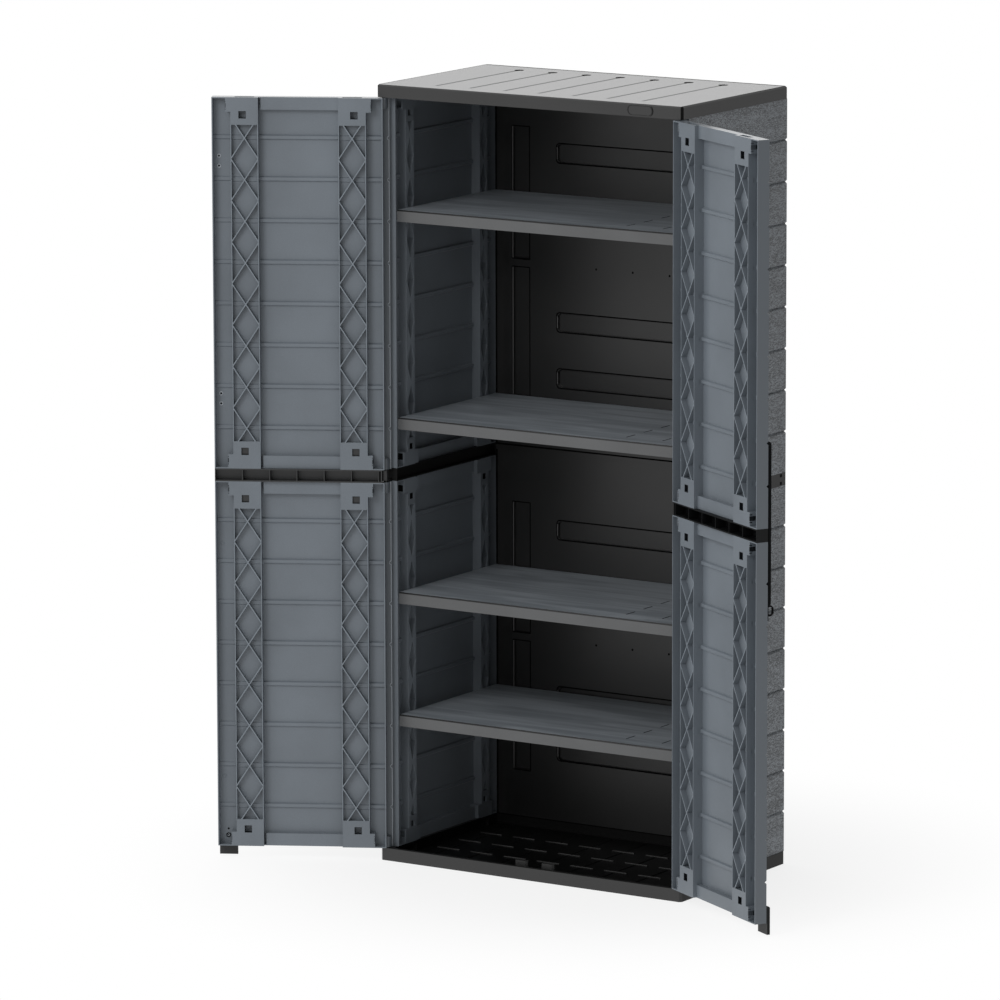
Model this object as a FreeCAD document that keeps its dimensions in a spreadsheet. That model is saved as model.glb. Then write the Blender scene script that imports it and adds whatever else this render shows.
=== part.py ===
import FreeCAD, Part
import os
import re

import Sketcher
from FreeCAD import Vector

# A tall garden storage cabinet of moulded resin: a base tray, a roof, two side walls and a back of grooved
# panels, four shelves and two doors that stand open. Millimetres; the origin is on the floor under the
# middle of the cabinet, +X to the right as seen from the front, +Y to the back and +Z up.

SIZES = {
    # whole cabinet
    "cabinet_width": 810,
    "cabinet_depth": 460,
    "cabinet_height": 1800,
    "base_rim_height": 29,
    "roof_rim_height": 29,
    "band_height": 30,
    "corner_cut": 5,
    # grooved panels of the walls and doors
    "skin": 5.5,
    "groove_pitch": 95.5,
    "groove_count": 8,
    "groove_height": 8,
    "groove_depth": 4.5,
    "ridge_height": 16,
    "lattice_rib": 2.4,
    "lattice_depth": 14,
    "lattice_margin": 1.6,
    "beam_height": 29,
    "beam_drop": 9,
    "beam_gap": 5,
    "end_flange": 2.4,
    "plate_length": 63,
    "plate_wide_length": 33,
    "ear_hole_reach": 10,
    # side walls
    "wall_inset": 2,
    "wall_thickness": 28,
    "wall_front": 31,
    "wall_side_flange": 4,
    "wall_column_spacing": 309,
    "wall_column_width": 32,
    "wall_plate_ear": 14,
    "wall_ear_hole": 15,
    "wall_ear_hole_rise": 22,
    "wall_window": 14,
    "wall_window_rise": 43,
    # doors
    "hinge_side": 12.6,
    "hinge_front": 10.9,
    "open_left": 152.2,
    "open_right": 149.3,
    "door_gap": 1.5,
    "door_meeting_gap": 1.6,
    "door_face": 10,
    "door_thickness": 28.5,
    "door_lip": 12.5,
    "door_frame_start": 1.4,
    "door_side_flange": 2.4,
    "door_column_middle": 194.1,
    "door_column_spacing": 245.8,
    "door_column_width": 63,
    "door_plate_ear": 12,
    "door_ear_hole": 10,
    "door_ear_hole_rise": 19,
    "door_window": 17,
    "door_window_rise": 40,
    "door_window_shift": 4.5,
    # tongues that plug into the columns
    "tongue_thickness": 11.4,
    "tongue_length": 50,
    "tongue_clearance": 0.3,
    "socket_spare": 2,
    "wall_tongue_width": 22,
    "door_tongue_width": 44,
    # hinges
    "pin_radius": 4,
    "pin_fit": 0.03,
    "pin_running_fit": 0.08,
    "pin_engagement": 18,
    "boss_radius": 8,
    "boss_length": 25,
    "knuckle_radius": 5.5,
    "tang_thickness": 3,
    "tang_clearance": 0.3,
    # connectors of the middle band
    "connector_start": 7,
    "connector_web": 3.2,
    "connector_slot": 3.2,
    "connector_slot_wall": 2.3,
    "connector_skin": 3.5,
    "connector_wall": 3,
    "cell_count": 6,
    "cell_divider": 2,
    "band_recess": 9,
    # base tray
    "floor_thickness": 6,
    "base_front_rim": 11,
    "back_rim": 10,
    "side_rim": 30,
    "floor_groove_pitch": 91,
    "floor_groove_count": 8,
    "floor_groove_width": 7,
    "floor_groove_depth": 2.5,
    "floor_groove_end": 8,
    "rim_pocket_width": 30,
    "rim_pocket_height": 16,
    "rim_pocket_depth": 9,
    "stop_length": 34,
    "stop_thickness": 12,
    "stop_top": 36,
    "stop_front": 31,
    "stop_left": 42,
    "stop_right": 29,
    # roof
    "roof_edge": 3,
    "deck_thickness": 4,
    "roof_front_rim": 14,
    "roof_groove_pitch": 91.1,
    "roof_groove_count": 7,
    "roof_groove_width": 9,
    "roof_groove_depth": 2,
    "roof_groove_front": 45,
    "roof_groove_back": 395,
    "roof_pit": 22,
    "roof_pit_corner": 6.5,
    "roof_rib_thickness": 4,
    "roof_rib_height": 14,
    # back panels
    "back_joint": 913,
    "panel_clearance": 0.3,
    "recess_depth": 6,
    "recess_corner": 8,
    "upper_recess_middle": 1343.5,
    "lower_recess_middle": 460,
    "tall_recess_left": 78,
    "tall_recess_width": 45.6,
    "tall_recess_length": 308,
    "tall_recess_pitch": 329,
    "wide_recess_length": 410,
    "wide_recess_height": 43,
    "wide_recess_first": 131.5,
    "wide_recess_pitch": 131.5,
    # shelves
    "top_shelf_height": 1511,
    "upper_shelf_height": 1032,
    "lower_shelf_height": 626,
    "bottom_shelf_height": 339,
    "shelf_thickness": 27,
    "shelf_front": 36,
    "shelf_back": 448,
    "shelf_skin": 4,
    "shelf_rim": 9,
    "shelf_rib": 8,
    "shelf_bay_count": 5,
    "shelf_edge_chamfer": 3,
    "clip_reach": 14,
    "clip_height": 9,
    "clip_lip": 3,
    "clip_length": 24,
    # foot plates and handles
    "foot_low": 4,
    "foot_high": 67.5,
    "foot_inner": 349.5,
    "foot_thickness": 9,
    "foot_step": 2,
    "foot_chamfer": 2.5,
    "handle_width": 12,
    "handle_edge_inset": 3.6,
    "handle_high": 1106,
    "handle_low": 708,
    "handle_bar_thickness": 7,
    "handle_gap": 3,
    "handle_top_foot": 18,
    "handle_grip_low": 765,
    "handle_shoulder": 745,
    "eye_high": 742,
    "eye_low": 717.6,
    "eye_reach": 19,
    "eye_thickness": 4,
    "eye_corner": 6,
    "eye_hole_width": 10,
    "eye_hole_height": 17,
    "eye_hole_place": 10.5,
    "tail_thickness": 4,
}

# Sizes that follow from the sheet

HALF_WIDTH = "(cabinet_width / 2)"
HALF_DEPTH = "(cabinet_depth / 2)"
ROOF_LOW = "(cabinet_height - roof_rim_height)"
WALL_HEIGHT = "((cabinet_height - base_rim_height - roof_rim_height - band_height) / 2)"
DOOR_HEIGHT = f"({WALL_HEIGHT} - door_gap)"
BAND_MIDDLE = f"(base_rim_height + {WALL_HEIGHT} + band_height / 2)"
FRAME_START = "((skin + groove_depth) / 2)"
GROOVE_SPAN = "(groove_pitch * (groove_count - 1))"
PLANK_SPAN = "(groove_pitch * groove_count)"
SOCKET_THICKNESS = "(tongue_thickness + 2 * tongue_clearance)"
SOCKET_DEPTH = "(tongue_length + socket_spare)"

WALL_MIDDLE_Y = "(wall_front / 2)"
WALL_WIDTH = "(cabinet_depth - wall_front)"
WALL_TONGUE_Y = "((skin + wall_thickness) / 2)"
WALL_TONGUE_X = f"({HALF_WIDTH} - wall_inset - {WALL_TONGUE_Y})"
WALL_FACE_X = f"({HALF_WIDTH} - wall_inset - wall_thickness)"

HINGE_X = f"({HALF_WIDTH} - hinge_side)"
HINGE_Y = f"(hinge_front - {HALF_DEPTH})"
FREE_EDGE = f"({HINGE_X} - door_meeting_gap / 2)"
DOOR_INNER = "(door_thickness - door_face)"
DOOR_TONGUE_Y = f"((skin - door_face + {DOOR_INNER}) / 2)"
DOOR_LOW_MIDDLE = f"(base_rim_height + door_gap + {DOOR_HEIGHT} / 2)"
DOOR_HIGH_MIDDLE = f"({BAND_MIDDLE} + band_height / 2 + {DOOR_HEIGHT} / 2)"
WALL_LOW_MIDDLE = f"(base_rim_height + {WALL_HEIGHT} / 2)"
WALL_HIGH_MIDDLE = f"({BAND_MIDDLE} + band_height / 2 + {WALL_HEIGHT} / 2)"

doc = FreeCAD.newDocument("cabinet")
sheet = doc.addObject("Spreadsheet::Sheet", "sizes")
for row, (alias, size) in enumerate(SIZES.items(), 1):
    sheet.set(f"A{row}", alias)
    sheet.set(f"B{row}", str(size))
    sheet.setAlias(f"B{row}", alias)
doc.recompute()


# Helpers for sketches and features

def bound(text):
    """The expression with each size's name pointed at the sheet."""
    return re.sub(rf"\b({'|'.join(SIZES)})\b", r"sizes.\1", text)


def value(text):
    result = sheet.evalExpression(text)
    return float(getattr(result, "Value", result))


def bind(item, **properties):
    for name, text in properties.items():
        item.setExpression(name, bound(text))


def origin_feature(body, role):
    return next(item for item in body.Origin.OriginFeatures if item.Role == role)


def new_body(label):
    body = doc.addObject("PartDesign::Body", label)
    body.Label = label
    body.AllowCompound = True
    return body


def sketch_on(body, role, name, offset):
    sketch = body.newObject("Sketcher::SketchObject", f"{body.Name}_{name}")
    sketch.AttachmentSupport = [(origin_feature(body, role), "")]
    sketch.MapMode = "FlatFace"
    sketch.setExpression("AttachmentOffset.Base.z", bound(offset))
    return sketch


def front_sketch(body, name, depth="0"):
    """A sketch drawn in X and Z on the plane Y = depth."""
    return sketch_on(body, "XZ_Plane", name, f"-({depth})")


def side_sketch(body, name, place="0"):
    """A sketch drawn in Y and Z on the plane X = place."""
    return sketch_on(body, "YZ_Plane", name, place)


def top_sketch(body, name, level="0"):
    """A sketch drawn in X and Y on the plane Z = level."""
    return sketch_on(body, "XY_Plane", name, level)


def fix(sketch, rules, sizes):
    """Adds the rules, then the sizes: each a kind, what it measures and the expression that sets it."""
    sketch.addConstraint(rules)
    measured = [Sketcher.Constraint(kind, *where, value(text)) for kind, where, text in sizes]
    first = sketch.ConstraintCount
    sketch.addConstraint(measured)
    for index, (_, _, text) in enumerate(sizes, first):
        sketch.setExpression(f"Constraints[{index}]", bound(text))


def polygon(sketch, corners):
    """A closed outline whose corners each lie at two distances from the sketch's origin."""
    first = sketch.GeometryCount
    count = len(corners)
    places = [Vector(value(across), value(along), 0) for across, along in corners]
    sketch.addGeometry([Part.LineSegment(places[i], places[(i + 1) % count]) for i in range(count)])
    sizes = []
    for i, (across, along) in enumerate(corners):
        sizes.append(("DistanceX", (-1, 1, first + i, 1), across))
        sizes.append(("DistanceY", (-1, 1, first + i, 1), along))
    fix(sketch, [Sketcher.Constraint("Coincident", first + i, 2, first + (i + 1) % count, 1)
                 for i in range(count)], sizes)


def rectangle(sketch, left, right, low, high):
    polygon(sketch, [(left, low), (right, low), (right, high), (left, high)])


def chamfered_rectangle(sketch, left, right, low, high, cut):
    """A rectangle with its four corners cut off at 45 degrees."""
    polygon(sketch, [(f"{left} + {cut}", low), (f"{right} - {cut}", low), (right, f"{low} + {cut}"),
                     (right, f"{high} - {cut}"), (f"{right} - {cut}", high), (f"{left} + {cut}", high),
                     (left, f"{high} - {cut}"), (left, f"{low} + {cut}")])


def circle(sketch, across, along, radius):
    centre = Vector(value(across), value(along), 0)
    index = sketch.addGeometry(Part.Circle(centre, Vector(0, 0, 1), value(radius)))
    fix(sketch, [], [("DistanceX", (-1, 1, index, 3), across), ("DistanceY", (-1, 1, index, 3), along),
                     ("Radius", (index,), radius)])


def pad(body, sketch, length, up=True):
    """Material from the sketch towards +X, +Y or +Z, or the other way where up is false."""
    feature = body.newObject("PartDesign::Pad", sketch.Name + "_pad")
    feature.Profile = sketch
    feature.Reversed = up == (sketch.AttachmentSupport[0][0].Role == "XZ_Plane")
    bind(feature, Length=length)
    return feature


def pocket(body, sketch, length, up=True):
    """A cut from the sketch towards +X, +Y or +Z, or the other way where up is false."""
    feature = body.newObject("PartDesign::Pocket", sketch.Name + "_pocket")
    feature.Profile = sketch
    feature.Reversed = up != (sketch.AttachmentSupport[0][0].Role == "XZ_Plane")
    bind(feature, Length=length)
    return feature


def repeat(body, feature, axis, span, count):
    """Copies of the feature, the first where it is and the last a span further along the axis."""
    pattern = body.newObject("PartDesign::LinearPattern", feature.Name + "_row")
    pattern.Originals = [feature]
    pattern.Direction = (origin_feature(body, axis + "_Axis"), [""])
    bind(pattern, Length=span, Occurrences=count)
    body.Tip = pattern
    return pattern


def place(item, across="0", along="0", level="0", turn="0", over=False):
    """Sets the placement: turned about the upright axis, and before that turned over about Y if asked."""
    flip = " * rotation(vector(0; 1; 0); 180)" if over else ""
    position = f"vector({across}; {along}; {level})"
    item.setExpression("Placement", bound(f"placement({position}; rotation(vector(0; 0; 1); {turn}){flip})"))


def tongues(body, name, level, up, places, width):
    """Plugs that taper at the end and stand on the face at a level, each at a place across and along."""
    sketch = top_sketch(body, name, level)
    for across, along, turned in places:
        half_across, half_along = "tongue_thickness / 2", f"{width} / 2"
        if not turned:
            half_across, half_along = half_along, half_across
        rectangle(sketch, f"{across} - {half_across}", f"{across} + {half_across}",
                  f"{along} - {half_along}", f"{along} + {half_along}")
    pad(body, sketch, "tongue_length", up)


# Grooved panels: a thin skin with level grooves, a frame, two lattice columns and end plates

class Panel:
    """Where a wall's or a door's panel has its edges and columns, as expressions in its own frame."""

    def __init__(self, kind, low, high, frame_low, outer, inner, middle):
        self.wide = kind == "door"
        self.low = low
        self.high = high
        self.frame_low = frame_low
        self.outer = outer
        self.inner = inner
        self.middle = middle
        self.flange = f"{kind}_side_flange"
        self.column_width = f"{kind}_column_width"
        self.tongue_width = f"{kind}_tongue_width"
        self.window = f"{kind}_window"
        self.window_rise = f"{kind}_window_rise"
        self.ear = f"{kind}_plate_ear"
        self.ear_hole = f"{kind}_ear_hole"
        self.tongue_depth = f"((({outer}) + skin + ({inner})) / 2)"
        self.columns = [(f"({middle} + {sign} * {kind}_column_spacing / 2)", sign) for sign in (-1, 1)]

    def column_edge(self, centre, sign):
        return f"({centre} + {sign} * {self.column_width} / 2)"


WALL = Panel("wall", f"(-{WALL_WIDTH} / 2)", f"({WALL_WIDTH} / 2)", f"(-{WALL_WIDTH} / 2)",
             "0", "wall_thickness", "0")
DOOR = Panel("door", "(-door_lip)", FREE_EDGE, "door_frame_start", "(-door_face)", DOOR_INNER,
             "door_column_middle")


class Lattice:
    """The slanting ribs of a column, which cross at the grooves and meet its sides between them."""

    def __init__(self, plan):
        self.wide = plan.wide
        self.half = f"({plan.column_width} / 2)"
        self.rise = "(groove_pitch / 2)"
        diagonal = f"hypot({self.half}; {self.rise})"
        self.across = f"(lattice_rib / 2 * {diagonal} / {self.rise})"
        self.along = f"(lattice_rib / 2 * {diagonal} / {self.half})"
        self.reach = f"({self.half} - lattice_margin)"
        self.spread = f"(({self.reach} - {self.across}) * {self.rise} / {self.half})"

    def diamond(self, sketch, centre, level):
        polygon(sketch, [(centre, f"{level} - {self.rise} + {self.along}"),
                         (f"{centre} + {self.half} - {self.across}", level),
                         (centre, f"{level} + {self.rise} - {self.along}"),
                         (f"{centre} - {self.half} + {self.across}", level)])

    def halves(self, sketch, centre, groove):
        """Half a diamond at each side of the crossing at a groove."""
        for sign in (-1, 1):
            polygon(sketch, [(f"{centre} + {sign} * {self.across}", groove),
                             (f"{centre} + {sign} * {self.reach}", f"{groove} - {self.spread}"),
                             (f"{centre} + {sign} * {self.reach}", f"{groove} + {self.spread}")])

    def end(self, sketch, centre, groove, shoulder, end):
        """What the plate's shoulder leaves of the cells at an end: a triangle and two cut halves."""
        room = f"({end} * ({shoulder} - {groove}))"
        base = f"(({room} - {self.along}) * {self.half} / {self.rise})"
        polygon(sketch, [(centre, f"{groove} + {end} * {self.along}"), (f"{centre} + {base}", shoulder),
                         (f"{centre} - {base}", shoulder)])
        if not self.wide:
            return
        cut = f"({self.across} + {room} * {self.half} / {self.rise})"
        for sign in (-1, 1):
            polygon(sketch, [(f"{centre} + {sign} * {self.across}", groove),
                             (f"{centre} + {sign} * {self.reach}", f"{groove} - {end} * {self.spread}"),
                             (f"{centre} + {sign} * {self.reach}", shoulder),
                             (f"{centre} + {sign} * {cut}", shoulder)])


def panel_skin(body, plan, height):
    """The skin, and a ridge inside it behind each groove that runs from one column to the other."""
    sketch = front_sketch(body, "skin", plan.outer)
    rectangle(sketch, plan.low, plan.high, f"-{height} / 2", f"{height} / 2")
    pad(body, sketch, "skin")
    (left, _), (right, _) = plan.columns
    ridge = side_sketch(body, "ridge", left)
    first = f"(-{GROOVE_SPAN} / 2)"
    base = f"{plan.outer} + skin / 2"
    polygon(ridge, [(base, f"{first} - ridge_height / 2"), (f"{plan.outer} + skin + groove_depth", first),
                    (base, f"{first} + ridge_height / 2")])
    bar = pad(body, ridge, f"{right} - {left}")
    repeat(body, bar, "Z", GROOVE_SPAN, "groove_count")


def panel_frame(body, plan, height):
    """The frame round the edge and the two columns, with three recesses left between them."""
    sketch = front_sketch(body, "frame", f"{plan.outer} + {FRAME_START}")
    rectangle(sketch, plan.frame_low, plan.high, f"-{height} / 2", f"{height} / 2")
    (left, _), (right, _) = plan.columns
    tall = f"({height} / 2 - end_flange)"
    middle = f"({height} / 2 - beam_height)"
    rectangle(sketch, f"{plan.frame_low} + {plan.flange}", plan.column_edge(left, -1), f"-{tall}", tall)
    near, far = plan.column_edge(left, 1), plan.column_edge(right, -1)
    beam_end = f"({far} - beam_gap)"
    polygon(sketch, [(near, f"-{middle}"), (beam_end, f"-{middle}"), (beam_end, f"-{tall}"),
                     (far, f"-{tall}"), (far, tall), (beam_end, tall), (beam_end, middle), (near, middle)])
    rectangle(sketch, plan.column_edge(right, 1), f"{plan.high} - {plan.flange}", f"-{tall}", tall)
    pad(body, sketch, f"{plan.inner} - ({plan.outer}) - {FRAME_START}")
    beams = front_sketch(body, "beams", plan.inner)
    for low, high in ((f"-{height} / 2", f"-{middle}"), (middle, f"{height} / 2")):
        rectangle(beams, plan.column_edge(left, 1), plan.column_edge(right, -1), low, high)
    pocket(body, beams, "beam_drop", up=False)


def panel_lattice(body, plan, height):
    lattice = Lattice(plan)
    diamonds = front_sketch(body, "diamonds", plan.inner)
    for centre, _ in plan.columns:
        lattice.diamond(diamonds, centre, f"(groove_pitch - {PLANK_SPAN} / 2)")
    if plan.wide:
        halves = front_sketch(body, "half_diamonds", plan.inner)
        for centre, _ in plan.columns:
            lattice.halves(halves, centre, f"(groove_pitch - {GROOVE_SPAN} / 2)")
        cells = pocket(body, halves, "lattice_depth", up=False)
        repeat(body, cells, "Z", "groove_pitch * (groove_count - 3)", "groove_count - 2")
    for end, name in ((-1, "low_cells"), (1, "high_cells")):
        cells = front_sketch(body, name, plan.inner)
        groove = f"({end} * {GROOVE_SPAN} / 2)"
        shoulder = f"({end} * ({height} / 2 - plate_length))"
        for centre, _ in plan.columns:
            lattice.end(cells, centre, groove, shoulder, end)
        pocket(body, cells, "lattice_depth", up=False)
    cells = pocket(body, diamonds, "lattice_depth", up=False)
    repeat(body, cells, "Z", "groove_pitch * (groove_count - 2)", "groove_count - 1")


def panel_ears(body, plan, height):
    """The plates over both ends of each column widen at the very end, on a door only towards its side."""
    sketch = front_sketch(body, "ears", f"{plan.outer} + {FRAME_START}")
    for end in (-1, 1):
        tip = f"{end} * ({height} / 2 - end_flange / 2)"
        step = f"{end} * ({height} / 2 - plate_wide_length)"
        for centre, sign in plan.columns:
            for way in (sign,) if plan.wide else (-1, 1):
                edge = plan.column_edge(centre, way)
                root = f"{edge} - {way} * lattice_margin"
                rectangle(sketch, root, f"{edge} + {way} * {plan.ear}", step, tip)
    pad(body, sketch, f"{plan.inner} - ({plan.outer}) - {FRAME_START}")
    middle = f"(({plan.outer} + {FRAME_START} + {plan.inner}) / 2)"
    for centre, sign in plan.columns if plan.wide else plan.columns[1:]:
        name = "near_ear_holes" if sign < 0 else "far_ear_holes"
        holes = side_sketch(body, name, f"{plan.column_edge(centre, sign)} + {sign} * {plan.ear}")
        for end in (-1, 1):
            level = f"({end} * ({height} / 2 - {plan.ear_hole}_rise))"
            rectangle(holes, f"{middle} - {plan.ear_hole} / 2", f"{middle} + {plan.ear_hole} / 2",
                      f"{level} - {plan.ear_hole} / 2", f"{level} + {plan.ear_hole} / 2")
        pocket(body, holes, "ear_hole_reach", up=sign < 0)


def panel_sockets(body, plan, height, window_shift):
    """Blind sockets for the tongues in both ends of each column, and a window into each from inside."""
    for end, name in ((-1, "low_sockets"), (1, "high_sockets")):
        sketch = top_sketch(body, name, f"{end} * {height} / 2")
        half = f"({plan.tongue_width} / 2 + tongue_clearance)"
        near = f"{plan.tongue_depth} - {SOCKET_THICKNESS} / 2"
        far = f"{plan.tongue_depth} + {SOCKET_THICKNESS} / 2"
        for centre, _ in plan.columns:
            rectangle(sketch, f"{centre} - {half}", f"{centre} + {half}", near, far)
        pocket(body, sketch, SOCKET_DEPTH, up=end < 0)
    windows = front_sketch(body, "windows", plan.inner)
    half = f"{plan.window} / 2"
    for end in (-1, 1):
        level = f"({end} * ({height} / 2 - {plan.window_rise}))"
        for centre, sign in plan.columns:
            across = f"({centre} + {sign} * {window_shift})"
            rectangle(windows, f"{across} - {half}", f"{across} + {half}",
                      f"{level} - {half}", f"{level} + {half}")
    pocket(body, windows, f"{plan.inner} - {plan.tongue_depth}", up=False)


def panel_grooves(body, plan):
    sketch = side_sketch(body, "groove", f"{plan.low} - skin")
    first = f"(-{GROOVE_SPAN} / 2)"
    polygon(sketch, [(plan.outer, f"{first} - groove_height / 2"), (f"{plan.outer} + groove_depth", first),
                     (plan.outer, f"{first} + groove_height / 2")])
    cut = pocket(body, sketch, f"{plan.high} - {plan.low} + 2 * skin")
    repeat(body, cut, "Z", GROOVE_SPAN, "groove_count")


def moulding(name, plan, height, window_shift="0", bosses=()):
    """A panel in its own frame: the grooved skin, and inside it the frame, columns and any hinge bosses."""
    skin = new_body(f"{name}_skin")
    panel_skin(skin, plan, height)
    panel_grooves(skin, plan)
    frame = new_body(f"{name}_frame")
    panel_frame(frame, plan, height)
    panel_ears(frame, plan, height)
    panel_sockets(frame, plan, height, window_shift)
    for end in bosses:
        hinge_boss(frame, height, end)
    panel_lattice(frame, plan, height)
    whole = doc.addObject("Part::Fuse", name)
    whole.Base = skin
    whole.Tool = frame
    return whole


def hinge_boss(body, height, end):
    """A boss on the hinge axis with a blind bore, at the low (-1) or high (1) end of a door panel."""
    name = "low_boss" if end < 0 else "high_boss"
    sketch = top_sketch(body, name, f"{end} * {height} / 2")
    low, high = "-boss_radius", "boss_radius"
    chamfered_rectangle(sketch, low, high, low, high, "boss_radius / 2")
    pad(body, sketch, "boss_length", up=end < 0)
    bore = top_sketch(body, name + "_bore", f"{end} * {height} / 2")
    circle(bore, "0", "0", "pin_radius + pin_running_fit")
    pocket(body, bore, "pin_engagement + tongue_clearance", up=end < 0)


def compound(label, items):
    group = doc.addObject("Part::Compound", label)
    group.Label = label
    group.Links = items
    return group


def place_on_wall(item, side, level):
    """Puts an item drawn in the wall's frame on the left (-1) or, turned over, on the right (1) side."""
    place(item, f"{side} * ({HALF_WIDTH} - wall_inset)", WALL_MIDDLE_Y, level, f"{side} * 90", side > 0)


def wall_panel(label, side, middle, shape):
    """One of the four wall panels; the right ones are the same moulding turned over."""
    panel = compound(label, [shape])
    place_on_wall(panel, side, middle)
    return panel


def place_on_door(item, side, level, over=False):
    """Puts an item drawn in the door's frame, about the hinge axis, on the left (-1) or right (1) door."""
    turn = "open_right" if side > 0 else "-open_left"
    place(item, f"{side} * {HINGE_X}", HINGE_Y, level, turn, over)


def door_panel(label, side, middle, shape):
    """One of the four door panels; the right ones are the same moulding turned over."""
    panel = compound(label, [shape])
    place_on_door(panel, side, middle, over=side > 0)
    return panel


# Base tray

def side_tongue_places():
    return [(f"{side} * {WALL_TONGUE_X}", f"({WALL_MIDDLE_Y} + {row} * wall_column_spacing / 2)", True)
            for side in (-1, 1) for row in (-1, 1)]


def outer_slab(body, name, level, height):
    """A slab over the whole plan of the cabinet, with its corners cut."""
    outline = top_sketch(body, name, level)
    chamfered_rectangle(outline, f"-{HALF_WIDTH}", HALF_WIDTH, f"-{HALF_DEPTH}", HALF_DEPTH, "corner_cut")
    return pad(body, outline, height)


def hinge_studs(body, level, up):
    """A stud on each hinge axis, on which the end of a door turns."""
    sketch = top_sketch(body, "hinge_studs", level)
    for side in (-1, 1):
        circle(sketch, f"{side} * {HINGE_X}", HINGE_Y, "pin_radius")
    pad(body, sketch, "door_gap + pin_engagement", up)


def base_tray():
    body = new_body("base")
    outer_slab(body, "outline", "0", "base_rim_height")
    tray = top_sketch(body, "tray", "base_rim_height")
    inner_x = f"({HALF_WIDTH} - side_rim)"
    front = f"(base_front_rim - {HALF_DEPTH})"
    back = f"({HALF_DEPTH} - back_rim)"
    rectangle(tray, f"-{inner_x}", inner_x, front, back)
    pocket(body, tray, "base_rim_height - floor_thickness", up=False)
    pockets = side_sketch(body, "rim_pockets", f"-{inner_x} - rim_pocket_depth")
    for row in (-1, 1):
        middle = f"({WALL_MIDDLE_Y} + {row} * wall_column_spacing / 2)"
        rectangle(pockets, f"{middle} - rim_pocket_width / 2", f"{middle} + rim_pocket_width / 2",
                  "floor_thickness", "floor_thickness + rim_pocket_height")
    pocket(body, pockets, f"2 * ({inner_x} + rim_pocket_depth)")
    tongues(body, "tongues", "base_rim_height", True, side_tongue_places(), "wall_tongue_width")
    hinge_studs(body, "base_rim_height", up=True)
    first = "(-floor_groove_pitch * (floor_groove_count - 1) / 2)"
    groove = front_sketch(body, "groove", front)
    polygon(groove, [(f"{first} - floor_groove_width / 2", "floor_thickness"),
                     (first, "floor_thickness - floor_groove_depth"),
                     (f"{first} + floor_groove_width / 2", "floor_thickness")])
    cut = pocket(body, groove, f"{back} - {front} - floor_groove_end")
    repeat(body, cut, "X", "floor_groove_pitch * (floor_groove_count - 1)", "floor_groove_count")
    return body


def door_stops():
    body = new_body("door_stops")
    sketch = top_sketch(body, "blocks", "floor_thickness")
    for place_x in ("-stop_left", "stop_right"):
        low = f"(stop_front - {HALF_DEPTH})"
        chamfered_rectangle(sketch, f"{place_x} - stop_length / 2", f"{place_x} + stop_length / 2",
                            low, f"{low} + stop_thickness", "stop_thickness / 3")
    pad(body, sketch, "stop_top - floor_thickness")
    return body


# Roof

def roof_cover():
    body = new_body("roof")
    outer_slab(body, "outline", "0", "roof_rim_height - roof_edge")
    outer_slab(body, "edge", "roof_rim_height - roof_edge", "roof_edge").TaperAngle = -45
    hollow = top_sketch(body, "hollow")
    inner_x = f"({HALF_WIDTH} - side_rim)"
    front = f"(roof_front_rim - {HALF_DEPTH})"
    back = f"({HALF_DEPTH} - back_rim)"
    rectangle(hollow, f"-{inner_x}", inner_x, front, back)
    pocket(body, hollow, "roof_rim_height - deck_thickness")
    first = "(-roof_groove_pitch * (roof_groove_count - 1) / 2)"
    row = "roof_groove_pitch * (roof_groove_count - 1)"
    rib = top_sketch(body, "rib", "roof_rim_height - deck_thickness - roof_rib_height")
    rectangle(rib, f"{first} - roof_rib_thickness / 2", f"{first} + roof_rib_thickness / 2",
              f"{front} - deck_thickness / 2", f"{back} + deck_thickness / 2")
    bar = pad(body, rib, "roof_rib_height + deck_thickness / 2")
    repeat(body, bar, "X", row, "roof_groove_count")
    groove = front_sketch(body, "groove", f"roof_groove_front - {HALF_DEPTH}")
    polygon(groove, [(f"{first} - roof_groove_width / 2", "roof_rim_height"),
                     (first, "roof_rim_height - roof_groove_depth"),
                     (f"{first} + roof_groove_width / 2", "roof_rim_height")])
    cut = pocket(body, groove, "roof_groove_back - roof_groove_front")
    repeat(body, cut, "X", row, "roof_groove_count")
    pit = top_sketch(body, "pit", "roof_rim_height")
    end = f"(roof_groove_back - {HALF_DEPTH})"
    chamfered_rectangle(pit, f"{first} - roof_pit / 2", f"{first} + roof_pit / 2", f"{end} - roof_pit / 2",
                        f"{end} + roof_pit / 2", "roof_pit_corner")
    cut = pocket(body, pit, "roof_groove_depth", up=False)
    repeat(body, cut, "X", row, "roof_groove_count")
    tongues(body, "tongues", "0", False, side_tongue_places(), "wall_tongue_width")
    hinge_studs(body, "0", up=False)
    place(body, level=ROOF_LOW)
    return body


# Middle band

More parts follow.
